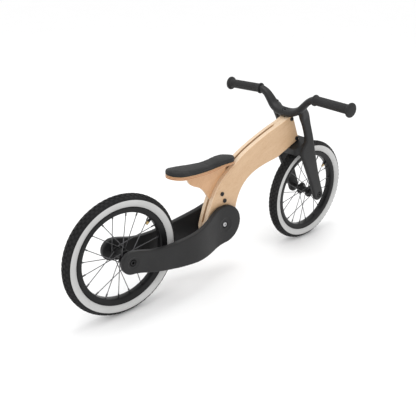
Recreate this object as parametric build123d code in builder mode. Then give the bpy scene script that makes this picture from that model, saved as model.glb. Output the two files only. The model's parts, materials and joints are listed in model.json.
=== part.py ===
from build123d import *
import math
import os

# Balance bike: two bent-grain plywood frame plates, a moulded fork with its handlebar in one piece,
# two splayed rear arms on a pivot, a height-adjustable seat and two spoked 12 inch wheels.
# Row frame: X forward, Y left, Z up, origin on the ground midway between the two axles, in mm.

# ---- driving dimensions ----
wheelbase = 654.6
wheel_radius = 152.0
head_angle = 66.4

plate_inner = 3.5
plate_thickness = 12.5
plate_outer = plate_inner + plate_thickness
plate_edge_radius = 3.5

pivot_x = 300.0
pivot_z = 151.5
arm_disc_radius = 53.0
arm_thickness = 13.5
arm_inner_front = 17.6
arm_inner_rear = 37.0
arm_outer_front = arm_inner_front + arm_thickness
arm_outer_rear = arm_inner_rear + arm_thickness

blade_inner = 41.0
blade_thickness = 13.0
head_low = 187.0
head_high = 271.0
head_front = 9.5
head_tube_radius = 9.0
bush_outer_radius = 6.5

axle_radius = 5.0
running_gap = 0.05
steering_gap = 1.0

spoke_count = 20
spoke_radius = 1.0
rim_inner_radius = 108.7
tyre_tube_radius = 16.3
tyre_wall = 2.6
whitewall_depth = 1.0

seat_slide = 35.0
clamp_high = (298.4, 234.6)
clamp_low = (307.6, 213.9)
clamp_bolt_radius = 3.0
button_radius = 5.6
button_height = 2.4
button_hex_radius = 2.3
button_hex_depth = 1.6
blind_nut_depth = 1.2

sleeve_radius = 8.0
disc_pad_radius = 28.0
disc_pad_thickness = 1.2
arm_recess_depth = 1.2
pivot_recess_radius = 16.0
axle_recess_radius = 14.0
bolt_socket_radius = 8.6
bolt_socket_depth = 6.0
bolt_head_radius = 8.0
bolt_head_height = 4.0
bolt_hex_radius = 3.6
bolt_hex_depth = 2.5
bolt_thread_radius = 2.5
bolt_thread_length = 12.0
bolt_hole_length = 14.0
beyond = 80.0

grip_length = 120.0
grip_radius = 13.0
grip_collar_radius = 15.6
grip_collar_length = 4.0
grip_flange_thickness = 9.0
grip_flange_overhang = 2.0
grip_edge_radius = 2.5
grip_wall_at_end = 8.0
grip_flange_radius = 20.0
bar_end_radius = 9.0
head_bolt_places = (196.6, 261.2)

rear_x = -wheelbase / 2
front_x = wheelbase / 2
sin_head = math.sin(math.radians(head_angle))
cos_head = math.cos(math.radians(head_angle))
tyre_centre_radius = wheel_radius - tyre_tube_radius


def side(y):
    """Side plane at y: local x runs forward from the rear axle, local y is the height."""
    return Plane(origin=(rear_x, y, 0), x_dir=(1, 0, 0), z_dir=(0, -1, 0))


def cross(x, z, y=0.0):
    """Plane at a point of the side view whose normal points to the left."""
    return Plane(origin=(rear_x + x, y, z), x_dir=(1, 0, 0), z_dir=(0, 1, 0))


def steer_side(y):
    """Side plane in the steering frame: local x ahead of the steering axis, local y along it."""
    return Plane(origin=(front_x, y, wheel_radius), x_dir=(sin_head, 0, cos_head), z_dir=(0, -1, 0))


def steer_cross(ahead, along, y=0.0):
    """Plane at a steering-frame point whose normal points to the left."""
    x, z = steer_point(ahead, along)
    return cross(x, z, y)


def steer_deck(along):
    """Plane square to the steering axis, at a distance along it from the front axle."""
    origin = (front_x - along * cos_head, 0, wheel_radius + along * sin_head)
    return Plane(origin=origin, x_dir=(sin_head, 0, cos_head), z_dir=(-cos_head, 0, sin_head))


def steer_point(ahead, along):
    """Side-plane point for a distance ahead of the steering axis and one along it."""
    x = wheelbase + ahead * sin_head - along * cos_head
    return x, wheel_radius + ahead * cos_head + along * sin_head


def save(piece, name):
    """Label a finished piece and write its STEP file."""
    piece.part.label = name
    export_step(piece.part, f"parts/{name}.step")


def save_solids(solids, name):
    """Write separate solids of one kind as a single node."""
    export_step(Compound(solids, label=name), f"parts/{name}.step")


os.makedirs("parts", exist_ok=True)

# ---- frame: plywood plates ----
head_front_low = steer_point(head_front, head_low)
head_front_high = steer_point(head_front, head_high)
head_back_high = steer_point(-36.5, head_high)
head_back_low = steer_point(-82.0, head_low)

with BuildPart() as frame_plate_right:
    with BuildSketch(side(-plate_inner)):
        with BuildLine():
            Polyline(head_back_low, head_front_low, head_front_high, head_back_high)
            Spline(
                head_back_high,
                (464.0, 369.0),
                (409.0, 345.5),
                (373.5, 327.5),
                (341.0, 305.5),
                (309.0, 281.0),
                (284.0, 254.0),
                (267.8, 225.0),
                (254.8, 192.0),
                (243.5, 150.0),
            )
            ThreePointArc((243.5, 150.0), (263.0, 113.0), (300.0, 101.5))
            ThreePointArc((300.0, 101.5), (338.0, 119.0), (349.7, 160.0))
            Spline(
                (349.7, 160.0),
                (350.3, 184.0),
                (356.2, 208.0),
                (370.0, 235.0),
                (398.0, 260.6),
                (434.9, 276.3),
                head_back_low,
            )
        make_face()
    extrude(amount=plate_thickness)
    outer_face = frame_plate_right.faces().sort_by(Axis.Y)[0]
    fillet(outer_face.edges(), plate_edge_radius)
    with BuildSketch(steer_deck(head_low - 10.0)):
        Circle(head_tube_radius + running_gap)
    extrude(amount=head_high - head_low + 20.0, mode=Mode.SUBTRACT)
    for along in head_bolt_places:
        with BuildSketch(steer_cross(0.0, along)):
            Circle(clamp_bolt_radius + running_gap)
        extrude(amount=-2.0 * plate_outer, mode=Mode.SUBTRACT)
    for point in (clamp_high, clamp_low):
        with BuildSketch(cross(*point)):
            Circle(clamp_bolt_radius + running_gap)
        extrude(amount=-2.0 * plate_outer, mode=Mode.SUBTRACT)
    with BuildSketch(cross(pivot_x, pivot_z)):
        Circle(sleeve_radius)
    extrude(amount=-2.0 * plate_outer, mode=Mode.SUBTRACT)
save(frame_plate_right, "frame_plate_right")

with BuildPart() as frame_plate_left:
    mirror(frame_plate_right.part, about=Plane.XZ)
save(frame_plate_left, "frame_plate_left")

with BuildPart() as head_block:
    with BuildSketch(side(plate_inner)):
        with BuildLine():
            Polyline(
                steer_point(-head_tube_radius - 0.1, head_low + 0.5),
                steer_point(-head_tube_radius - 0.1, head_high - 0.5),
                steer_point(-36.5, head_high - 0.5),
                (500.0, 381.0),
                (478.0, 335.0),
                (495.0, 288.5),
                close=True,
            )
        make_face()
    extrude(amount=2.0 * plate_inner)
save(head_block, "head_block")

with BuildPart() as pivot_block:
    with BuildSketch(side(plate_inner)):
        with BuildLine():
            ThreePointArc((246.5, 161.8), (262.0, 117.0), (300.0, 104.5))
            ThreePointArc((300.0, 104.5), (337.0, 123.0), (346.5, 161.8))
            Line((346.5, 161.8), (246.5, 161.8))
        make_face()
    extrude(amount=2.0 * plate_inner)
    with BuildSketch(cross(pivot_x, pivot_z)):
        Circle(sleeve_radius)
    extrude(amount=2.0 * plate_inner, both=True, mode=Mode.SUBTRACT)
save(pivot_block, "pivot_block")

with BuildPart() as pivot_sleeve:
    with BuildSketch(cross(pivot_x, pivot_z)):
        Circle(sleeve_radius)
        Circle(axle_radius + running_gap, mode=Mode.SUBTRACT)
    extrude(amount=plate_outer + disc_pad_thickness - 0.2, both=True)
save(pivot_sleeve, "pivot_sleeve")

with BuildPart() as friction_discs:
    with BuildSketch(cross(pivot_x, pivot_z, plate_outer)):
        Circle(disc_pad_radius)
        Circle(sleeve_radius + 2.0 * running_gap, mode=Mode.SUBTRACT)
    extrude(amount=disc_pad_thickness)
    mirror(about=Plane.XZ)
save(friction_discs, "friction_discs")

# ---- frame: steering head ----
with BuildPart() as head_tube:
    with BuildSketch(steer_deck(head_low + 1.0)):
        Circle(head_tube_radius)
        Circle(bush_outer_radius, mode=Mode.SUBTRACT)
    extrude(amount=head_high - head_low - 2.0)
save(head_tube, "head_tube")

for name, flange_start, sleeve_start in (
    ("head_bush_lower", head_low - 0.6, head_low + 1.0),
    ("head_bush_upper", head_high - 1.0, head_high - 16.0),
):
    with BuildPart() as bush:
        with BuildSketch(steer_deck(sleeve_start)):
            Circle(bush_outer_radius)
            Circle(axle_radius + running_gap, mode=Mode.SUBTRACT)
        extrude(amount=15.0)
        with BuildSketch(steer_deck(flange_start)):
            Circle(head_tube_radius)
            Circle(axle_radius + running_gap, mode=Mode.SUBTRACT)
        extrude(amount=1.6)
    save(bush, name)

with BuildPart() as head_bolts:
    for along in head_bolt_places:
        with BuildSketch(steer_cross(0.0, along, head_tube_radius)):
            Circle(clamp_bolt_radius)
        extrude(amount=plate_outer - head_tube_radius)
        with BuildSketch(steer_cross(0.0, along, plate_outer)):
            Circle(button_radius)
        extrude(amount=button_height)
        with BuildSketch(steer_cross(0.0, along, plate_outer + button_height)):
            RegularPolygon(radius=button_hex_radius, side_count=6)
        extrude(amount=-button_hex_depth, mode=Mode.SUBTRACT)
    mirror(about=Plane.XZ)
save(head_bolts, "head_bolts")

with BuildPart() as seat_clamp_bolts:
    for point in (clamp_high, clamp_low):
        with BuildSketch(cross(*point, -plate_outer)):
            Circle(clamp_bolt_radius)
        extrude(amount=2.0 * plate_outer + blind_nut_depth)
        with BuildSketch(cross(*point, -plate_outer)):
            Circle(button_radius)
        extrude(amount=-button_height)
        with BuildSketch(cross(*point, -plate_outer - button_height)):
            RegularPolygon(radius=button_hex_radius, side_count=6)
        extrude(amount=button_hex_depth, mode=Mode.SUBTRACT)
save(seat_clamp_bolts, "seat_clamp_bolts")

with BuildPart() as seat_clamp_nuts:
    for point in (clamp_high, clamp_low):
        with BuildSketch(cross(*point, plate_outer)):
            Circle(button_radius)
        extrude(amount=button_height)
        with BuildSketch(cross(*point, plate_outer)):
            Circle(clamp_bolt_radius)
        extrude(amount=blind_nut_depth, mode=Mode.SUBTRACT)
save(seat_clamp_nuts, "seat_clamp_nuts")

# ---- seat: support, ply base, pad ----
slide_x = clamp_high[0] - clamp_low[0]
slide_z = clamp_high[1] - clamp_low[1]
slide_length = math.hypot(slide_x, slide_z)
slide_dir = (slide_x / slide_length, slide_z / slide_length)
support_thickness = 6.4


def slide_point(origin, up, across=0.0):
    """Side-plane point moved up the seat slide and across it, forward positive."""
    x = origin[0] + up * slide_dir[0] + across * slide_dir[1]
    return x, origin[1] + up * slide_dir[1] - across * slide_dir[0]


stem_end = slide_point(clamp_low, -seat_slide - 10.0)

with BuildPart() as seat_support:
    with BuildSketch(side(support_thickness / 2)):
        with BuildLine():
            Spline(
                (193.0, 307.6),
                (232.0, 305.5),
                (270.0, 306.8),
                (303.0, 311.5),
            )
            Line((303.0, 311.5), (322.0, 294.0))
            Spline(
                (322.0, 294.0),
                (313.0, 262.0),
                slide_point(clamp_low, 0.0, 13.0),
                slide_point(stem_end, 0.0, 11.0),
            )
            Line(slide_point(stem_end, 0.0, 11.0), slide_point(stem_end, 0.0, -11.0))
            Spline(
                slide_point(stem_end, 0.0, -11.0),
                slide_point(clamp_low, 0.0, -15.0),
                (270.0, 221.0),
                (254.7, 242.0),
                (234.8, 262.6),
                (202.7, 280.7),
                (195.0, 296.0),
                (193.0, 307.6),
            )
        make_face()
    extrude(amount=support_thickness)
    slot_centre = slide_point(clamp_high, 0.3 - (slide_length + seat_slide) / 2)
    slot_plane = Plane(
        origin=(rear_x + slot_centre[0], 0, slot_centre[1]),
        x_dir=(slide_dir[0], 0, slide_dir[1]),
        z_dir=(0, 1, 0),
    )
    with BuildSketch(slot_plane):
        SlotCenterToCenter(slide_length + seat_slide + 1.2, 2.0 * clamp_bolt_radius + 0.4)
    extrude(amount=support_thickness, both=True, mode=Mode.SUBTRACT)

pad_top = [(130.0, 327.0), (160.0, 325.0), (195.0, 320.6), (235.0, 318.0), (270.0, 318.8), (300.0, 323.0),
           (325.0, 324.5), (352.0, 322.0)]
pad_foot = [(x, z - 8.5) for x, z in pad_top]
base_foot = [(130.0, 310.5), (160.0, 308.0), (195.0, 303.9), (235.0, 301.5), (270.0, 302.8), (300.0, 307.5),
             (325.0, 309.8), (352.0, 310.8)]
screw_places = (226.0, 286.0)
screw_radius = 1.8


def seat_slab(top, foot, inset):
    """Hourglass seat plan cut from a band that follows the saddle's dip."""
    with BuildPart() as slab:
        with BuildSketch(side(60.0)):
            with BuildLine():
                Spline(*top)
                Line(top[-1], foot[-1])
                Spline(*reversed(foot))
                Line(foot[0], top[0])
            make_face()
        extrude(amount=120.0)
        with BuildSketch(Plane(origin=(rear_x, 0, 280.0))):
            with BuildLine():
                ThreePointArc((136.5 + inset, 0.0), (145.0 + inset, 18.5 - inset), (164.0, 28.5 - inset))
                Spline(
                    (164.0, 28.5 - inset),
                    (185.0, 27.9 - inset),
                    (215.0, 24.6 - inset),
                    (245.0, 22.0 - inset),
                    (272.0, 21.4 - inset),
                    (300.0, 23.0 - inset),
                    (321.0, 23.6 - inset),
                )
                ThreePointArc((321.0, 23.6 - inset), (340.0 - inset, 15.5 - inset), (347.0 - inset, 0.0))
                mirror(about=Plane.XZ)
            make_face()
        extrude(amount=80.0, mode=Mode.INTERSECT)
    return slab.part


def screw_hole(along, radius):
    """Upright cylinder on the seat's centre line, the bore of a seat screw."""
    with BuildPart() as bore:
        with BuildSketch(Plane(origin=(rear_x + along, 0, 288.0))):
            Circle(radius)
        extrude(amount=22.0)
    return bore.part


with BuildPart() as seat_pad:
    add(seat_slab(pad_top, pad_foot, 0.0))
save(seat_pad, "seat_pad")

screw_bores = [screw_hole(along, screw_radius) for along in screw_places]
with BuildPart() as seat_base:
    add(seat_slab(pad_foot, base_foot, 0.5))
    add(seat_support.part, mode=Mode.SUBTRACT)
    add(screw_bores, mode=Mode.SUBTRACT)
save(seat_base, "seat_base")

with BuildPart() as drilled_support:
    add(seat_support.part)
    add(screw_bores, mode=Mode.SUBTRACT)
save(drilled_support, "seat_support")

with BuildPart() as seat_screws:
    for along in screw_places:
        with BuildSketch(Plane(origin=(rear_x + along, 0, 288.5))):
            Circle(screw_radius)
        extrude(amount=20.8)
save(seat_screws, "seat_screws")

# ---- rear arms ----
with BuildPart() as rear_arm_right:
    with BuildSketch(side(0.0)):
        with BuildLine():
            disc_top = (300.0, pivot_z + arm_disc_radius)
            disc_bottom = (300.0, pivot_z - arm_disc_radius)
            Spline(
                disc_bottom,
                (262.0, 91.5),
                (215.0, 87.5),
                (162.0, 89.5),
                (99.0, 98.0),
                (41.0, 112.0),
                (0.0, 123.0),
                tangents=((-1.0, -0.1), (-0.97, 0.15)),
            )
            ThreePointArc((0.0, 123.0), (-29.5, 150.0), (-4.0, 180.0))
            Spline(
                (-4.0, 180.0),
                (50.0, 167.4),
                (110.0, 162.4),
                (170.0, 167.0),
                (230.0, 182.5),
                (262.0, 196.0),
                disc_top,
                tangents=((1.0, -0.05), (1.0, 0.0)),
            )
            ThreePointArc(disc_top, (300.0 + arm_disc_radius, pivot_z), disc_bottom)
        make_face()
    extrude(amount=80.0)
    with BuildSketch(Plane(origin=(rear_x, 0, 60.0))):
        with BuildLine():
            for offset in (0.0, arm_thickness):
                Line((-40.0, -arm_inner_rear - offset), (60.0, -arm_inner_rear - offset))
                Spline(
                    (60.0, -arm_inner_rear - offset),
                    (150.0, -39.0 - offset),
                    (200.0, -37.5 - offset),
                    (240.0, -28.0 - offset),
                    (272.0, -19.2 - offset),
                    (300.0, -arm_inner_front - offset),
                    tangents=((1.0, 0.0), (1.0, 0.0)),
                )
                Line((300.0, -arm_inner_front - offset), (360.0, -arm_inner_front - offset))
            Line((360.0, -arm_inner_front), (360.0, -arm_inner_front - arm_thickness))
            Line((-40.0, -arm_inner_rear - arm_thickness), (-40.0, -arm_inner_rear))
        make_face()
    extrude(amount=180.0, mode=Mode.INTERSECT)
    with BuildSketch(cross(pivot_x, pivot_z)):
        Circle(axle_radius + running_gap)
    extrude(amount=-beyond, mode=Mode.SUBTRACT)
    with BuildSketch(cross(pivot_x, pivot_z, -arm_outer_front + arm_recess_depth)):
        Circle(pivot_recess_radius)
    extrude(amount=-beyond, mode=Mode.SUBTRACT)
    with BuildSketch(cross(pivot_x, pivot_z, -arm_outer_front + bolt_socket_depth)):
        Circle(bolt_socket_radius)
    extrude(amount=-beyond, mode=Mode.SUBTRACT)
    with BuildSketch(cross(0.0, wheel_radius)):
        Circle(axle_radius + running_gap)
    extrude(amount=-beyond, mode=Mode.SUBTRACT)
    with BuildSketch(cross(0.0, wheel_radius, -arm_outer_rear + arm_recess_depth)):
        Circle(axle_recess_radius)
    extrude(amount=-beyond, mode=Mode.SUBTRACT)
    with BuildSketch(cross(0.0, wheel_radius, -arm_outer_rear + bolt_socket_depth)):
        Circle(bolt_socket_radius)
    extrude(amount=-beyond, mode=Mode.SUBTRACT)
save(rear_arm_right, "rear_arm_right")

with BuildPart() as rear_arm_left:
    mirror(rear_arm_right.part, about=Plane.XZ)
save(rear_arm_left, "rear_arm_left")


def through_bolt(x, z, outer_face):
    """Shaft between two sunk sockets, with its button heads as separate pieces."""
    head_seat = outer_face - bolt_socket_depth
    with BuildPart() as shaft:
        with BuildSketch(cross(x, z)):
            Circle(axle_radius)
        extrude(amount=head_seat, both=True)
        for start in (head_seat - bolt_hole_length, -head_seat):
            with BuildSketch(cross(x, z, start)):
                Circle(bolt_thread_radius)
            extrude(amount=bolt_hole_length, mode=Mode.SUBTRACT)
    with BuildPart() as heads:
        with BuildSketch(cross(x, z, head_seat - bolt_thread_length)):
            Circle(bolt_thread_radius)
        extrude(amount=bolt_thread_length)
        with BuildSketch(cross(x, z, head_seat)):
            Circle(bolt_head_radius)
        extrude(amount=bolt_head_height)
        with BuildSketch(cross(x, z, head_seat + bolt_head_height)):
            RegularPolygon(radius=bolt_hex_radius, side_count=6)
        extrude(amount=-bolt_hex_depth, mode=Mode.SUBTRACT)
        mirror(about=Plane.XZ)
    return shaft, heads


pivot_shaft, pivot_bolts = through_bolt(pivot_x, pivot_z, arm_outer_front)
save(pivot_shaft, "pivot_shaft")
save(pivot_bolts, "pivot_bolts")

rear_axle, rear_axle_bolts = through_bolt(0.0, wheel_radius, arm_outer_rear)
save(rear_axle, "rear_axle")
save(rear_axle_bolts, "rear_axle_bolts")

# ---- fork and handlebar: one moulding, kept as two nodes that meet at the bar ----
crown_low = 162.0
crown_length = 61.0
crown_corner = 12.0
insert_radius = 8.0
insert_length = 15.0
steering_head_radius = 7.0
steering_head_height = 3.5
steering_hex_radius = 3.4
washer_thickness = 1.0
head_recess_radius = 7.3
bar_half_length = 14.0
bar_half_depth = 9.5
blade_edge_radius = 3.0
crown_high = head_low - steering_gap
bar_under = head_high + steering_gap
bar_centre = bar_under + bar_half_depth
bar_floor = bar_centre + 3.0

grip_start = (front_x - 112.6, -96.4, 458.0)
grip_end = (front_x - 119.1, -218.2, 455.2)
grip_dir = Vector(*grip_end) - Vector(*grip_start)
grip_plane = Plane(origin=grip_start, x_dir=(0.0, -0.0230, 0.9997), z_dir=grip_dir)
bar_mid = (front_x - bar_centre * cos_head, 0.0, wheel_radius + bar_centre * sin_head)

with BuildPart() as handlebar:
    with BuildLine() as bar_path:
        Spline(
            bar_mid,
            (front_x - 112.0, -24.0, 411.5),
            (front_x - 111.6, -45.0, 420.5),
            (front_x - 111.4, -61.0, 436.5),
            (front_x - 111.8, -77.0, 451.5),
            grip_start,
            tangents=((0.0, -1.0, 0.0), tuple(grip_dir)),
        )
    with BuildSketch(Plane(origin=bar_mid, x_dir=(sin_head, 0, cos_head), z_dir=(0, -1, 0))):
        Ellipse(bar_half_length, bar_half_depth)
    sweep(path=bar_path.line, is_frenet=False)
    with BuildSketch(grip_plane.offset(-6.0)):
        Circle(bar_end_radius)
    extrude(amount=6.0 + grip_length - grip_wall_at_end)
    mirror(about=Plane.XZ)
    solid_bar = handlebar.part
    with BuildSketch(steer_deck(head_high)):
        Circle(axle_radius + running_gap)
    extrude(amount=4.0 * bar_half_length, mode=Mode.SUBTRACT)
    with BuildSketch(steer_deck(bar_floor)):
        Circle(head_recess_radius)
    extrude(amount=2.0 * bar_half_length, mode=Mode.SUBTRACT)
save(handlebar, "handlebar")

with BuildPart() as fork:
    with BuildSketch(steer_side(-blade_inner)):
        with BuildLine():
            Spline(
                (-18.0, 0.0),
                (-19.0, 60.0),
                (-22.5, 106.0),
                (-26.0, 145.0),
                (-26.0, 171.0),
                (-15.0, 184.0),
                (-1.0, 192.0),
                (4.0, 210.0),
                (4.0, 250.0),
                (5.0, 283.0),
                (17.0, 295.0),
                (29.5, 283.0),
                (32.0, 245.0),
                (30.0, 197.0),
                (26.5, 160.0),
                (20.0, 90.0),
                (18.0, 0.0),
                tangents=((0.0, 1.0), (0.0, -1.0)),
            )
            ThreePointArc((18.0, 0.0), (0.0, -18.0), (-18.0, 0.0))
        make_face()
    extrude(amount=blade_thickness)
    blade_faces = fork.faces().sort_by(Axis.Y)
    fillet(blade_faces[0].edges() + blade_faces[-1].edges(), blade_edge_radius)
    mirror(about=Plane.XZ)
    with BuildSketch(steer_deck(crown_low)):
        with Locations((-4.5, 0.0)):
            RectangleRounded(crown_length, 2.0 * blade_inner + 4.0, crown_corner)
    extrude(amount=crown_high - crown_low)
    with BuildSketch(steer_deck(crown_low - 1.0)):
        Circle(axle_radius + running_gap)
    extrude(amount=crown_length, mode=Mode.SUBTRACT)
    with BuildSketch(steer_deck(crown_low - 1.0)):
        Circle(insert_radius)
    extrude(amount=insert_length + 2.0, mode=Mode.SUBTRACT)
    with BuildSketch(cross(wheelbase, wheel_radius)):
        Circle(axle_radius + running_gap)
    extrude(amount=beyond, both=True, mode=Mode.SUBTRACT)
    for turn in (-1.0, 1.0):
        with BuildSketch(cross(wheelbase, wheel_radius, turn * (blade_inner + blade_thickness - 4.0))):
            Circle(bolt_socket_radius)
        extrude(amount=turn * beyond, mode=Mode.SUBTRACT)
    add(solid_bar, mode=Mode.SUBTRACT)
save(fork, "fork")

with BuildPart() as steering_bolt:
    with BuildSketch(steer_deck(crown_low + 2.0)):
        Circle(axle_radius)
    extrude(amount=bar_floor + washer_thickness - crown_low - 2.0)
    with BuildSketch(steer_deck(bar_floor + washer_thickness)):
        Circle(steering_head_radius)
        RegularPolygon(radius=steering_hex_radius, side_count=6, mode=Mode.SUBTRACT)
    extrude(amount=steering_head_height)
save(steering_bolt, "steering_bolt")

with BuildPart() as steering_washer:
    with BuildSketch(steer_deck(bar_floor)):
        Circle(steering_head_radius)
        Circle(axle_radius + running_gap, mode=Mode.SUBTRACT)
    extrude(amount=washer_thickness)
save(steering_washer, "steering_washer")

with BuildPart() as crown_insert:
    with BuildSketch(steer_deck(crown_low + 1.0)):
        Circle(insert_radius)
        Circle(axle_radius, mode=Mode.SUBTRACT)
    extrude(amount=insert_length)
save(crown_insert, "crown_insert")

with BuildPart() as grip_right:
    with BuildSketch(grip_plane):
        Circle(grip_radius)
    extrude(amount=grip_length)
    with BuildSketch(grip_plane):
        Circle(grip_collar_radius)
    extrude(amount=grip_collar_length)
    with BuildSketch(grip_plane.offset(grip_length + grip_flange_overhang - grip_flange_thickness)):
        Circle(grip_flange_radius)
    extrude(amount=grip_flange_thickness)
    fillet(grip_right.edges().filter_by(GeomType.CIRCLE).group_by(SortBy.RADIUS)[-1], grip_edge_radius)
    with BuildSketch(grip_plane):
        Circle(bar_end_radius)
    extrude(amount=grip_length - grip_wall_at_end, mode=Mode.SUBTRACT)
save(grip_right, "grip_right")

with BuildPart() as grip_left:
    mirror(grip_right.part, about=Plane.XZ)
save(grip_left, "grip_left")

front_axle, front_axle_bolts = through_bolt(wheelbase, wheel_radius, blade_inner + blade_thickness + 2.0)
save(front_axle, "front_axle")
save(front_axle_bolts, "front_axle_bolts")

# ---- wheels ----
hub_half = 18.5
flange_centre = 16.0
hub_hole_radius = 15.0
lacing_angle = 60.0
outer_reach = 4.0
inner_reach = 3.4
elbow_radius = 1.6
nipple_length = 9.0
nipple_radius = 1.9
valve_angle = 39.5
valve_hole_radius = 4.2
valve_stem_radius = 3.6
valve_stem_foot = 100.0
valve_stem_length = 23.2
valve_cap_length = 7.5
inner_tube_radius = 13.2
inner_tube_wall = 1.4
rim_outer_radius = 122.6
bearing_bore = 5.05
bearing_radius = 11.0
bearing_inner_side = 11.1
bearing_outer_side = 18.3
spacer_radius = 8.0
spacer_gap = 0.2
rim_offset = 1.5


def radial(hub_x, angle, radius, y):
    """Point of a wheel at an angle from straight ahead, a radius and a side offset."""
    turn = math.radians(angle)
    return Vector(hub_x + radius * math.cos(turn), y, wheel_radius + radius * math.sin(turn))


def wheel_section(hub_x):
    """Plane of a wheel's cross section: local x to the left, local y out along the radius."""
    return Plane(origin=(hub_x, 0, wheel_radius), x_dir=(0, 1, 0), z_dir=(1, 0, 0))


def bent_spoke(hole_end, hub_point, rim_point):
    """One spoke: through its flange hole, round its elbow and out to the rim."""
    with BuildPart() as spoke:
        with BuildLine() as route:
            FilletPolyline(hole_end, hub_point, rim_point, radius=elbow_radius)
        with BuildSketch(Plane(origin=hole_end, z_dir=hub_point - hole_end)):
            Circle(spoke_radius)
        sweep(path=route.wire())
    return spoke.part.solid()


def spoke_hole(hole_end, hub_point, _):
    """The flange hole that a spoke's elbow passes through."""
    through = hub_point - hole_end
    with BuildPart() as hole:
        with BuildSketch(Plane(origin=hole_end - through.normalized() * 0.5, z_dir=through)):
            Circle(spoke_radius + running_gap)
        extrude(amount=through.length + 0.5)
    return hole.part.solid()


def nipple(_, hub_point, rim_point):
    """The nut round the outer end of a spoke, just inside the rim."""
    outward = rim_point - hub_point
    with BuildPart() as nut:
        with BuildSketch(Plane(origin=rim_point - outward.normalized() * nipple_length, z_dir=outward)):
            Circle(nipple_radius)
            Circle(spoke_radius, mode=Mode.SUBTRACT)
        extrude(amount=nipple_length - 0.6)
    return nut.part.solid()


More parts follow.
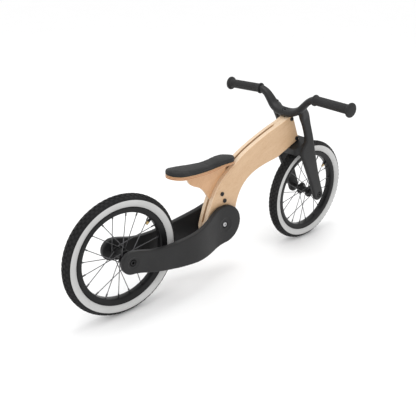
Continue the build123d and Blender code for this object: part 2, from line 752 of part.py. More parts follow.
def build_wheel(end, hub_x, clamp_half):
    """Make and save every piece of one wheel, and the spacers beside its hub."""
    spin = Axis((hub_x, 0, wheel_radius), (0, 1, 0))
    bead = (math.sqrt(tyre_tube_radius**2 - 12.5**2), tyre_centre_radius - 12.5)
    band_top = tyre_centre_radius + 4.6
    band_foot = tyre_centre_radius - 12.0

    with BuildSketch(wheel_section(hub_x)) as carcass:
        with Locations((0, tyre_centre_radius)):
            Circle(tyre_tube_radius)
            Circle(tyre_tube_radius - tyre_wall, mode=Mode.SUBTRACT)
        with Locations((0, bead[1] - 20.0)):
            Rectangle(60.0, 40.0, mode=Mode.SUBTRACT)
        for edge in (-1.0, 1.0):
            with Locations((edge * (bead[0] - tyre_wall / 2), bead[1] - 1.0)):
                Rectangle(tyre_wall, 5.0)
    with BuildSketch(wheel_section(hub_x)) as band:
        with Locations((0, tyre_centre_radius)):
            Circle(tyre_tube_radius)
            Circle(tyre_tube_radius - whitewall_depth, mode=Mode.SUBTRACT)
        with Locations((0, (band_top + band_foot) / 2)):
            Rectangle(60.0, band_top - band_foot, mode=Mode.INTERSECT)

    with BuildPart() as tyre:
        add(carcass.sketch - band.sketch)
        revolve(axis=spin)
    save(tyre, f"{end}_tyre")

    with BuildPart() as whitewalls:
        add(band.sketch)
        revolve(axis=spin)
    save(whitewalls, f"{end}_whitewalls")

    with BuildPart() as rim:
        with BuildSketch(wheel_section(hub_x)):
            with BuildLine():
                rim_half = Polyline(
                    (0.0, rim_inner_radius),
                    (8.6, rim_inner_radius),
                    (10.6, 111.5),
                    (12.4, 122.0),
                    (11.2, rim_outer_radius),
                    (10.7, 119.4),
                    (7.2, 118.4),
                    (6.2, 113.0),
                    (0.0, 112.4),
                )
                mirror(rim_half, about=Plane.YZ)
            make_face()
        revolve(axis=spin)
        valve_seat = radial(hub_x, valve_angle, valve_stem_foot, 0.0)
        outward = valve_seat - Vector(hub_x, 0, wheel_radius)
        with BuildSketch(Plane(origin=valve_seat, z_dir=outward)):
            Circle(valve_hole_radius)
        extrude(amount=rim_outer_radius - valve_stem_foot - 4.6, mode=Mode.SUBTRACT)
    save(rim, f"{end}_rim")

    with BuildPart() as inner_tube:
        with BuildSketch(wheel_section(hub_x)):
            with Locations((0, tyre_centre_radius)):
                Circle(inner_tube_radius)
                Circle(inner_tube_radius - inner_tube_wall, mode=Mode.SUBTRACT)
        revolve(axis=spin)
        with BuildSketch(Plane(origin=valve_seat, z_dir=outward)):
            Circle(valve_stem_radius)
        extrude(amount=valve_stem_length)
    save(inner_tube, f"{end}_inner_tube")

    with BuildPart() as valve_cap:
        with BuildSketch(Plane(origin=valve_seat, z_dir=-outward)):
            Circle(valve_stem_radius)
        extrude(amount=valve_cap_length)
        fillet(valve_cap.faces().sort_by_distance((hub_x, 0, wheel_radius))[0].edges(), 1.0)
    save(valve_cap, f"{end}_valve_cap")

    ends = []
    for place in range(spoke_count):
        half = 1.0 if place % 2 else -1.0
        lead = 1.0 if place % 4 < 2 else -1.0
        rim_angle = 360.0 / spoke_count * (place + 0.5)
        hub_side = half * (flange_centre + (outer_reach if lead > 0 else -inner_reach))
        hub_point = radial(hub_x, rim_angle + lead * lacing_angle, hub_hole_radius, hub_side)
        rim_point = radial(hub_x, rim_angle, rim_inner_radius - 0.6, half * rim_offset)
        elbow_end = half * (flange_centre - lead * 1.4)
        hole_end = Vector(hub_point.X, elbow_end, hub_point.Z)
        ends.append((hole_end, hub_point, rim_point))

    save_solids([bent_spoke(*place) for place in ends], f"{end}_spokes")

    with BuildPart() as hub_shell:
        with BuildSketch(wheel_section(hub_x)):
            with BuildLine():
                hub_half_line = Polyline(
                    (0.0, 7.0),
                    (11.0, 7.0),
                    (11.0, bearing_radius),
                    (hub_half, bearing_radius),
                    (hub_half, 13.0),
                    (17.5, 13.0),
                    (17.5, 18.0),
                    (14.5, 18.0),
                    (14.5, 13.0),
                    (10.0, 12.4),
                    (6.0, 9.5),
                    (0.0, 9.0),
                )
                mirror(hub_half_line, about=Plane.YZ)
            make_face()
        revolve(axis=spin)
        add([spoke_hole(*place) for place in ends], mode=Mode.SUBTRACT)
    save(hub_shell, f"{end}_hub_shell")

    with BuildPart() as hub_bearings:
        with BuildSketch(wheel_section(hub_x)):
            with BuildLine():
                Polyline(
                    (bearing_inner_side, bearing_bore),
                    (bearing_outer_side, bearing_bore),
                    (bearing_outer_side, bearing_radius),
                    (bearing_inner_side, bearing_radius),
                    close=True,
                )
            make_face()
        revolve(axis=spin)
        mirror(about=Plane.XZ)
    save(hub_bearings, f"{end}_hub_bearings")

    with BuildPart() as axle_spacers:
        with BuildSketch(cross(hub_x - rear_x, wheel_radius, hub_half + spacer_gap)):
            Circle(spacer_radius)
            Circle(axle_radius, mode=Mode.SUBTRACT)
        extrude(amount=clamp_half - hub_half - spacer_gap)
        mirror(about=Plane.XZ)
    save(axle_spacers, f"{end}_axle_spacers")

    save_solids([nipple(*place) for place in ends], f"{end}_spoke_nipples")


build_wheel("rear", rear_x, arm_inner_rear)
build_wheel("front", front_x, blade_inner)
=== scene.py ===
"""Balance bike: finished surfaces, soft seat pad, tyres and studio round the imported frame."""

import json
import logging
import math
from dataclasses import dataclass, field
from enum import Enum

import bmesh
import bpy
from mathutils import Matrix, Vector

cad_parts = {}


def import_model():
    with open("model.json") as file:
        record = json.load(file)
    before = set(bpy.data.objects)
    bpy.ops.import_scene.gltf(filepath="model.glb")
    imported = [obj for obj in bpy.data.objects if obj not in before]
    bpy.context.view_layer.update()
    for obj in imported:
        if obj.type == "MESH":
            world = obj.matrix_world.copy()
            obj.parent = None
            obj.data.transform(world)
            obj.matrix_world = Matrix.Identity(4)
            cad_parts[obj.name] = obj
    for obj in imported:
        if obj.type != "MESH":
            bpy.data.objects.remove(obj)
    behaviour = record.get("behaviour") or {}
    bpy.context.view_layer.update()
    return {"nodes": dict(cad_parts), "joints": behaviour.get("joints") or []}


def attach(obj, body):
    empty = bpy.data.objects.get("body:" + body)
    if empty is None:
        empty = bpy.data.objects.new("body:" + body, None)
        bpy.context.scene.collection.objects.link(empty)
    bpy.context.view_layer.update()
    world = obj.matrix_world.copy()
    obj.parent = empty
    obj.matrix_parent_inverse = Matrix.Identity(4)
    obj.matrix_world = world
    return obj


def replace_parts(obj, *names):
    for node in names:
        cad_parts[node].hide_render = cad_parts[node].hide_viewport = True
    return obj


LOG = logging.getLogger("balance_bike")
MM = 0.001
UP = Vector((0.0, 0.0, 1.0))
ACROSS = Vector((0.0, 1.0, 0.0))

Triple = tuple[float, float, float]
Pair = tuple[float, float]
Socket = bpy.types.NodeSocket
Nodes = dict[str, bpy.types.Object]


class Side(Enum):
    """The two sides of the bike, by the sign of Y."""

    RIGHT = -1.0
    LEFT = 1.0


# ---------------------------------------------------------------- finishes


class Graph:
    """A material's node tree, with short calls for the nodes that the finishes share."""

    def __init__(self, name: str) -> None:
        """Start a material with a principled shader.

        Args:
            name: The material's name.
        """
        self.material = bpy.data.materials.new(name)
        self.material.use_nodes = True
        self.tree = self.material.node_tree
        self.shader = self.tree.nodes["Principled BSDF"]
        self.coords = self.tree.nodes.new("ShaderNodeTexCoord")

    def link(self, source: Socket, target: Socket) -> None:
        """Join two sockets."""
        self.tree.links.new(source, target)

    def stretched(self, stretch: Triple = (1.0, 1.0, 1.0), turn: float = 0.0) -> Socket:
        """Object coordinates, turned about Y and then stretched.

        Args:
            stretch: The factor on each axis.
            turn: The turn about the Y axis, in degrees.

        Returns:
            The vector socket.
        """
        spun = self.tree.nodes.new("ShaderNodeMapping")
        spun.inputs["Rotation"].default_value = (0.0, math.radians(turn), 0.0)
        self.link(self.coords.outputs["Object"], spun.inputs["Vector"])
        scaled = self.tree.nodes.new("ShaderNodeMapping")
        scaled.inputs["Scale"].default_value = stretch
        self.link(spun.outputs["Vector"], scaled.inputs["Vector"])
        return scaled.outputs["Vector"]

    def noise(self, vector: Socket, scale: float, detail: float = 4.0) -> Socket:
        """Noise over a vector.

        Args:
            vector: The coordinates.
            scale: The noise's scale.
            detail: Its octaves.

        Returns:
            The value socket.
        """
        node = self.tree.nodes.new("ShaderNodeTexNoise")
        node.inputs["Scale"].default_value = scale
        node.inputs["Detail"].default_value = detail
        self.link(vector, node.inputs["Vector"])
        return node.outputs["Fac"]

    def math(self, operation: str, first: Socket, second: float = 0.0, third: float = 0.0) -> Socket:
        """One math operation on a value.

        Args:
            operation: The math node's operation.
            first: The value.
            second: The operation's second number.
            third: What a multiplied value has added to it.

        Returns:
            The value socket.
        """
        node = self.tree.nodes.new("ShaderNodeMath")
        node.operation = operation
        self.link(first, node.inputs[0])
        node.inputs[1].default_value = second
        node.inputs[2].default_value = third
        return node.outputs["Value"]

    def ramp(self, value: Socket, stops: list[tuple[float, Triple]]) -> Socket:
        """A colour ramp over a value.

        Args:
            value: The value.
            stops: Each stop's position and colour.

        Returns:
            The colour socket.
        """
        node = self.tree.nodes.new("ShaderNodeValToRGB")
        elements = node.color_ramp.elements
        while len(elements) < len(stops):
            elements.new(0.5)
        for element, (position, colour) in zip(elements, stops):
            element.position = position
            element.color = (*colour, 1.0)
        self.link(value, node.inputs["Fac"])
        return node.outputs["Color"]

    def mix(self, factor: Socket | None, first: Socket, second: Socket, blend: str = "MIX") -> Socket:
        """Two colours mixed by a value.

        Args:
            factor: How much of the second shows. None shows all of it.
            first: The colour under it.
            second: The colour over it.
            blend: The mix node's blend type.

        Returns:
            The colour socket.
        """
        node = self.tree.nodes.new("ShaderNodeMix")
        node.data_type = "RGBA"
        node.blend_type = blend
        node.inputs["Factor"].default_value = 1.0
        if factor is not None:
            self.link(factor, node.inputs["Factor"])
        self.link(first, node.inputs["A"])
        self.link(second, node.inputs["B"])
        return node.outputs["Result"]

    def bump(self, height: Socket, depth: float, strength: float = 1.0) -> None:
        """Bump the shader's normal.

        Args:
            height: The height field, from 0 to 1.
            depth: How deep it is, in metres.
            strength: How much of it shows.
        """
        node = self.tree.nodes.new("ShaderNodeBump")
        node.inputs["Distance"].default_value = depth
        node.inputs["Strength"].default_value = strength
        self.link(height, node.inputs["Height"])
        self.link(node.outputs["Normal"], self.shader.inputs["Normal"])


@dataclass(frozen=True)
class Plywood:
    """Clear-lacquered birch plywood: long pale grain on its faces, glued layers on its edges."""

    name: str
    pale: Triple = (0.635, 0.437, 0.263)
    warm: Triple = (0.55, 0.346, 0.191)
    edge_pale: Triple = (0.76, 0.60, 0.43)
    edge_dark: Triple = (0.36, 0.205, 0.11)
    layer: float = 1.56 * MM
    grain_turn: float = 30.0
    face_limit: float = 0.72

    def material(self) -> bpy.types.Material:
        """The plywood material."""
        graph = Graph(self.name)
        shader = graph.shader
        along = graph.stretched((10.0, 120.0, 120.0), self.grain_turn)
        streaks = graph.noise(along, 6.0, 6.0)
        broad = graph.noise(graph.stretched((3.0, 8.0, 14.0), self.grain_turn), 3.0, 2.0)
        flecks = graph.noise(graph.stretched((60.0, 300.0, 420.0), self.grain_turn), 3.0, 2.0)
        grain = graph.ramp(streaks, [(0.30, self.warm), (0.62, self.pale)])
        tone = graph.ramp(broad, [(0.30, self.warm), (0.70, self.pale)])
        face = graph.mix(graph.math("MULTIPLY", broad, 0.9), grain, tone)
        fleck_tint = graph.ramp(flecks, [(0.30, (0.80, 0.72, 0.64)), (0.42, (1.0, 1.0, 1.0))])
        face = graph.mix(None, face, fleck_tint, "MULTIPLY")
        edge = self.layers(graph)
        normal = graph.tree.nodes.new("ShaderNodeSeparateXYZ")
        graph.link(graph.coords.outputs["Normal"], normal.inputs["Vector"])
        facing = graph.math("ABSOLUTE", normal.outputs["Y"])
        on_edge = graph.math("LESS_THAN", facing, self.face_limit)
        graph.link(graph.mix(on_edge, face, edge), shader.inputs["Base Color"])
        graph.link(graph.math("MULTIPLY_ADD", streaks, 0.16, 0.36), shader.inputs["Roughness"])
        shader.inputs["Coat Weight"].default_value = 0.25
        shader.inputs["Coat Roughness"].default_value = 0.28
        graph.bump(streaks, 0.12 * MM, 0.5)
        return graph.material

    def layers(self, graph: Graph) -> Socket:
        """The glued layers that show on a plate's edge.

        Args:
            graph: The material's tree.

        Returns:
            The colour socket.
        """
        place = graph.tree.nodes.new("ShaderNodeSeparateXYZ")
        graph.link(graph.coords.outputs["Object"], place.inputs["Vector"])
        depth = graph.math("DIVIDE", graph.math("ABSOLUTE", place.outputs["Y"]), self.layer)
        cycle = graph.math("PINGPONG", depth, 1.0)
        lines = graph.ramp(cycle, [(0.06, self.edge_dark), (0.22, self.edge_pale), (0.80, self.edge_pale),
                                   (0.94, self.warm)])
        fibre = graph.noise(graph.stretched((90.0, 900.0, 90.0)), 4.0, 3.0)
        tint = graph.ramp(fibre, [(0.25, self.warm), (0.70, self.edge_pale)])
        return graph.mix(graph.math("MULTIPLY", fibre, 0.55), lines, tint)


@dataclass(frozen=True)
class Moulded:
    """Moulded plastic or rubber with a fine matt grain."""

    name: str
    colour: Triple = (0.009, 0.009, 0.0095)
    worn: Triple = (0.015, 0.015, 0.0155)
    roughness: float = 0.46
    grain: float = 900.0
    depth: float = 0.05 * MM
    specular: float = 0.28

    def material(self) -> bpy.types.Material:
        """The moulded material."""
        graph = Graph(self.name)
        shader = graph.shader
        vector = graph.stretched()
        cloud = graph.noise(vector, 14.0, 3.0)
        fine = graph.noise(vector, self.grain, 2.0)
        graph.link(graph.ramp(cloud, [(0.3, self.colour), (0.7, self.worn)]), shader.inputs["Base Color"])
        rough = graph.math("MULTIPLY_ADD", fine, 0.14, self.roughness - 0.07)
        graph.link(rough, shader.inputs["Roughness"])
        shader.inputs["Specular IOR Level"].default_value = self.specular
        graph.bump(fine, self.depth, 0.6)
        return graph.material


@dataclass(frozen=True)
class Metal:
    """Plated or blackened metal with faint brushing."""

    name: str
    colour: Triple = (0.60, 0.60, 0.61)
    dull: Triple = (0.42, 0.42, 0.43)
    roughness: float = 0.32
    metallic: float = 1.0

    def material(self) -> bpy.types.Material:
        """The metal material."""
        graph = Graph(self.name)
        shader = graph.shader
        vector = graph.stretched()
        cloud = graph.noise(vector, 90.0, 4.0)
        graph.link(graph.ramp(cloud, [(0.35, self.dull), (0.65, self.colour)]), shader.inputs["Base Color"])
        rough = graph.math("MULTIPLY_ADD", cloud, 0.2, self.roughness - 0.1)
        graph.link(rough, shader.inputs["Roughness"])
        shader.inputs["Metallic"].default_value = self.metallic
        graph.bump(graph.noise(vector, 1500.0, 2.0), 0.02 * MM, 0.4)
        return graph.material


@dataclass(frozen=True)
class PadCloth:
    """Dense dark grey knitted cover over foam."""

    name: str
    colour: Triple = (0.022, 0.022, 0.0225)
    lit: Triple = (0.036, 0.036, 0.0355)
    stitch: float = 1100.0

    def material(self) -> bpy.types.Material:
        """The cover material."""
        graph = Graph(self.name)
        shader = graph.shader
        vector = graph.stretched()
        knit = graph.tree.nodes.new("ShaderNodeTexVoronoi")
        knit.inputs["Scale"].default_value = self.stitch
        graph.link(vector, knit.inputs["Vector"])
        cloud = graph.noise(vector, 40.0, 4.0)
        base = graph.ramp(cloud, [(0.3, self.colour), (0.7, self.lit)])
        dots = graph.ramp(knit.outputs["Distance"], [(0.0, (1.0, 1.0, 1.0)), (0.7, (0.62, 0.62, 0.62))])
        graph.link(graph.mix(cloud, base, dots, "MULTIPLY"), shader.inputs["Base Color"])
        shader.inputs["Roughness"].default_value = 0.82
        shader.inputs["Sheen Weight"].default_value = 0.06
        shader.inputs["Specular IOR Level"].default_value = 0.2
        shader.inputs["Sheen Roughness"].default_value = 0.5
        graph.bump(knit.outputs["Distance"], 0.18 * MM, 0.7)
        return graph.material


# ---------------------------------------------------------------- mesh helpers


def finished(bm: bmesh.types.BMesh, name: str, body: str, slot: str, *materials: bpy.types.Material,
             smooth: bool = True) -> bpy.types.Object:
    """Turn a bmesh into a piece that rides on a body.

    Args:
        bm: The shape, in metres in the row frame. It is freed.
        name: The piece's name.
        body: The body it rides on.
        slot: The record's material slot. Not used.
        materials: Its materials, in slot order.
        smooth: Whether its faces are shaded smooth.

    Returns:
        The piece.
    """
    bmesh.ops.recalc_face_normals(bm, faces=bm.faces)
    for face in bm.faces:
        face.smooth = smooth
    mesh = bpy.data.meshes.new(name)
    bm.to_mesh(mesh)
    bm.free()
    for material in materials:
        mesh.materials.append(material)
    piece = bpy.data.objects.new(name, mesh)
    bpy.context.scene.collection.objects.link(piece)
    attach(piece, body)
    return piece


def evaluated(piece: bpy.types.Object) -> bpy.types.Mesh:
    """The mesh that a piece's modifiers make now."""
    graph = bpy.context.evaluated_depsgraph_get()
    return bpy.data.meshes.new_from_object(piece.evaluated_get(graph))


def settle(piece: bpy.types.Object) -> None:
    """Apply every modifier on a piece and keep its materials and smooth shading."""
    mesh = evaluated(piece)
    old = piece.data
    piece.modifiers.clear()
    piece.data = mesh
    for polygon in mesh.polygons:
        polygon.use_smooth = True
    if not mesh.materials:
        for material in old.materials:
            mesh.materials.append(material)


def spun(section: list[Pair], hub: Vector, steps: int) -> bmesh.types.BMesh:
    """A ring about an axle, from points of its section.

    Args:
        section: Points as (offset to the left, radius), in metres. The last joins the first.
        hub: The wheel's centre.
        steps: How many steps the ring has.

    Returns:
        The ring.
    """
    bm = bmesh.new()
    points = [bm.verts.new(hub + ACROSS * offset + UP * radius) for offset, radius in section]
    edges = [bm.edges.new(pair) for pair in zip(points, points[1:])]
    edges.append(bm.edges.new((points[-1], points[0])))
    bmesh.ops.spin(bm, geom=points + edges, cent=hub, axis=ACROSS, angle=math.tau, steps=steps,
                   use_merge=True)
    bmesh.ops.remove_doubles(bm, verts=bm.verts, dist=1e-6)
    return bm


def rounded(piece: bpy.types.Object, width: float) -> None:
    """Round a piece's corners with a live bevel.

    Args:
        piece: The piece.
        width: The bevel's width, in metres.
    """
    bevel = piece.modifiers.new("edge rounding", "BEVEL")
    bevel.width = width
    bevel.segments = 2
    bevel.limit_method = "ANGLE"
    bevel.angle_limit = math.radians(28.0)
    bevel.harden_normals = True


# ---------------------------------------------------------------- sub-assemblies


@dataclass
class Wheel:
    """One spoked wheel: knobbed tyre with pale sidewall bands, rim, hub, spokes and valve."""

    end: str
    hub: Vector
    radius: float = 152.0 * MM
    tube: float = 16.3 * MM
    knob_height: float = 1.5 * MM
    knob_count: int = 70
    band_top: float = 16.4
    band_foot: float = -46.0
    band_proud: float = 0.25 * MM
    wall_offset: float = 10.2 * MM
    ring_steps: int = 120
    hub_steps: int = 64
    bead: tuple[Pair, ...] = ((9.4, 120.5), (9.0, 124.0))
    knob_rows: tuple[tuple[float, float, float, float], ...] = (
        (90.0, 3.3, 4.6, 0.0), (66.0, 2.4, 3.9, 0.5), (114.0, 2.4, 3.9, 0.5), (43.0, 2.3, 3.3, 0.0),
        (137.0, 2.3, 3.3, 0.0),
    )
    rim_half: tuple[Pair, ...] = (
        (7.6, 108.7), (9.4, 109.5), (10.4, 111.5), (12.2, 121.4), (12.0, 122.4), (11.3, 122.4), (10.7, 119.4),
        (7.2, 118.4), (6.2, 113.0),
    )
    hub_half: tuple[Pair, ...] = (
        (18.5, 11.0), (18.5, 12.6), (18.1, 13.0), (17.5, 13.2), (17.5, 17.4), (16.9, 18.0), (15.1, 18.0),
        (14.5, 17.4), (14.5, 13.4), (12.0, 12.2), (9.0, 10.0), (6.0, 9.2),
    )
    bore: tuple[Pair, ...] = ((-11.0, 11.0), (-11.0, 7.0), (11.0, 7.0), (11.0, 11.0))

    @property
    def body(self) -> str:
        """The body that every piece of the wheel rides on."""
        return f"{self.end}_wheel"

    @staticmethod
    def mirrored(half: tuple[Pair, ...]) -> list[Pair]:
        """A section whose right half mirrors its left half.

        Args:
            half: The left half, as (offset, radius) in millimetres.

        Returns:
            The whole section, in metres.
        """
        section = [(offset * MM, radius * MM) for offset, radius in half]
        return section + [(-offset * MM, radius * MM) for offset, radius in reversed(half)]

    def tyre(self, rubber: bpy.types.Material, pale: bpy.types.Material) -> bpy.types.Object:
        """The tyre's carcass with its sidewall bands.

        Args:
            rubber: The black rubber.
            pale: The band's rubber.

        Returns:
            The tyre.
        """
        centre = self.radius - self.tube
        low, high = self.band_foot, self.band_top
        stops = [low - 4.0] + [low + (high - low) * step / 8 for step in range(9)]
        stops += [high + 1.5] + [high + (90.0 - high) * step / 8 for step in range(1, 9)]
        half = []
        for degrees in stops:
            turn = math.radians(degrees)
            reach = self.tube - self.knob_height * max(0.0, math.sin(turn)) ** 2
            if low - 0.1 <= degrees <= high + 0.1:
                reach += self.band_proud
            half.append((reach * math.cos(turn), centre + reach * math.sin(turn)))
        inside = [(offset * MM, radius * MM) for offset, radius in self.bead]
        right = [(-offset, radius) for offset, radius in reversed(half[:-1])]
        section = half + right + [(-offset, radius) for offset, radius in inside] + list(reversed(inside))
        bm = spun(section, self.hub, self.ring_steps)
        bm.normal_update()
        floor = centre + self.tube * math.sin(math.radians(low)) - 0.2 * MM
        roof = centre + self.tube * math.sin(math.radians(high)) + 0.2 * MM
        for face in bm.faces:
            reach = face.calc_center_median() - self.hub
            radial = math.hypot(reach.x, reach.z)
            outside = abs(reach.y) > self.wall_offset
            face.material_index = 1 if outside and floor < radial < roof else 0
        piece = finished(bm, f"{self.end}_tyre_carcass", self.body, "tyre_rubber", rubber, pale)
        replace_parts(piece, f"{self.end}_tyre", f"{self.end}_whitewalls")
        return piece

    def tread(self, rubber: bpy.types.Material) -> bpy.types.Object:
        """The knobs round the tyre.

        Args:
            rubber: The knobs' rubber, lighter than the carcass's as a painted highlight on the knob tops.

        Returns:
            The knobs, as one piece.
        """
        centre = self.radius - self.tube
        bm = bmesh.new()
        for lean, half_wide, half_long, phase in self.knob_rows:
            turn = math.radians(lean)
            reach = self.tube - self.knob_height * 0.5 - 0.5 * MM * abs(math.cos(turn))
            for count in range(self.knob_count):
                around = Matrix.Rotation(math.tau * (count + phase) / self.knob_count, 4, "Y")
                middle = Vector((0.0, reach * math.cos(turn), centre + reach * math.sin(turn)))
                place = Matrix.Translation(middle)
                tilt = Matrix.Rotation(turn - math.pi / 2, 4, "X")
                half_high = 0.5 * self.knob_height + 0.3 * MM
                size = Matrix.Diagonal((half_long * MM, half_wide * MM, half_high, 1.0))
                matrix = Matrix.Translation(self.hub) @ around @ place @ tilt @ size
                bmesh.ops.create_cube(bm, size=2.0, matrix=matrix)
        bmesh.ops.bevel(bm, geom=list(bm.edges), offset=0.5 * MM, segments=1, profile=0.5, affect="EDGES",
                        material=-1)
        return finished(bm, f"{self.end}_tread_knobs", self.body, "tyre_rubber", rubber, smooth=False)

    def rim(self, black: bpy.types.Material) -> bpy.types.Object:
        """The rim's hollow section.

        Args:
            black: Its finish.

        Returns:
            The rim.
        """
        section = self.mirrored(self.rim_half)
        bm = spun(section, self.hub, self.ring_steps)
        piece = finished(bm, f"{self.end}_rim_ring", self.body, "rim_black", black)
        rounded(piece, 0.4 * MM)
        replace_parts(piece, f"{self.end}_rim")
        return piece

    def hub_shell(self, black: bpy.types.Material) -> bpy.types.Object:
        """The turned hub with its two spoke flanges.

        Args:
            black: Its finish.

        Returns:
            The hub.
        """
        section = self.mirrored(self.hub_half) + [(offset * MM, radius * MM) for offset, radius in self.bore]
        bm = spun(section, self.hub, self.hub_steps)
        piece = finished(bm, f"{self.end}_hub_body", self.body, "hub_black", black)
        rounded(piece, 0.3 * MM)
        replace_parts(piece, f"{self.end}_hub_shell")
        return piece


@dataclass(frozen=True)
class Boss:
    """A bolt seat in a moulding: a shallow dish about an axis that runs across the bike."""

    place: Pair
    keep: float
    dish: float = 0.0
    depth: float = 1.1 * MM
    wall: float = 1.6 * MM
    skin: float = 5.0 * MM

    def reach(self, point: Vector) -> float:
        """How far a point is from the seat's axis."""
        return math.hypot(point.x - self.place[0], point.z - self.place[1])


@dataclass
class Moulding:
    """A moulding with well-rounded corners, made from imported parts' own solids."""

    name: str
    body: str
    sources: tuple[str, ...]
    voxel: float
    passes: int
    bosses: tuple[Boss, ...] = ()
    fade: float = 4.0 * MM
    least_relaxed: float = 0.06

    def merged(self, nodes: Nodes) -> bmesh.types.BMesh:
        """The parts' solids, welded.

        Args:
            nodes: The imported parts.

        Returns:
            The solids.
        """
        bm = bmesh.new()
        for source in self.sources:
            bm.from_mesh(nodes[source].data)
        bmesh.ops.remove_doubles(bm, verts=bm.verts, dist=2e-6)
        return bm

    def build(self, material: bpy.types.Material, nodes: Nodes) -> bpy.types.Object:
        """Remesh the parts as one skin, round its corners and press its bolt seats in.

        Args:
            material: The plastic.
            nodes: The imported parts.

        Returns:
            The moulding.
        """
        bm = self.merged(nodes)
        piece = finished(bm, self.name, self.body, "moulded_plastic", material)
        remesh = piece.modifiers.new("skin", "REMESH")
        remesh.mode = "VOXEL"
        remesh.voxel_size = self.voxel
        settle(piece)
        group = piece.vertex_groups.new(name="free")
        for vert in piece.data.vertices:
            nearest = min((boss.reach(vert.co) - boss.keep for boss in self.bosses), default=1.0)
            group.add([vert.index], min(1.0, max(self.least_relaxed, nearest / self.fade)), "REPLACE")
        relax = piece.modifiers.new("relax", "SMOOTH")
        relax.factor = 0.5
        relax.iterations = self.passes
        relax.vertex_group = group.name
        settle(piece)
        piece.vertex_groups.clear()
        self.press(piece)
        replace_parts(piece, *self.sources)
        return piece

    def press(self, piece: bpy.types.Object) -> None:
        """Press the dishes into the outer face.

        Args:
            piece: The relaxed moulding.
        """
        for boss in (boss for boss in self.bosses if boss.dish > 0.0):
            near = [vert for vert in piece.data.vertices if boss.reach(vert.co) < boss.dish + self.fade]
            outer = max(abs(vert.co.y) for vert in near)
            for vert in near:
                on_face = min(1.0, max(0.0, 1.0 - (outer - abs(vert.co.y)) / boss.skin))
                rim = min(1.0, max(0.0, (boss.dish - boss.reach(vert.co)) / boss.wall + 0.5))
                ease = rim * rim * (3.0 - 2.0 * rim)
                vert.co.y -= math.copysign(boss.depth * ease * on_face, vert.co.y)


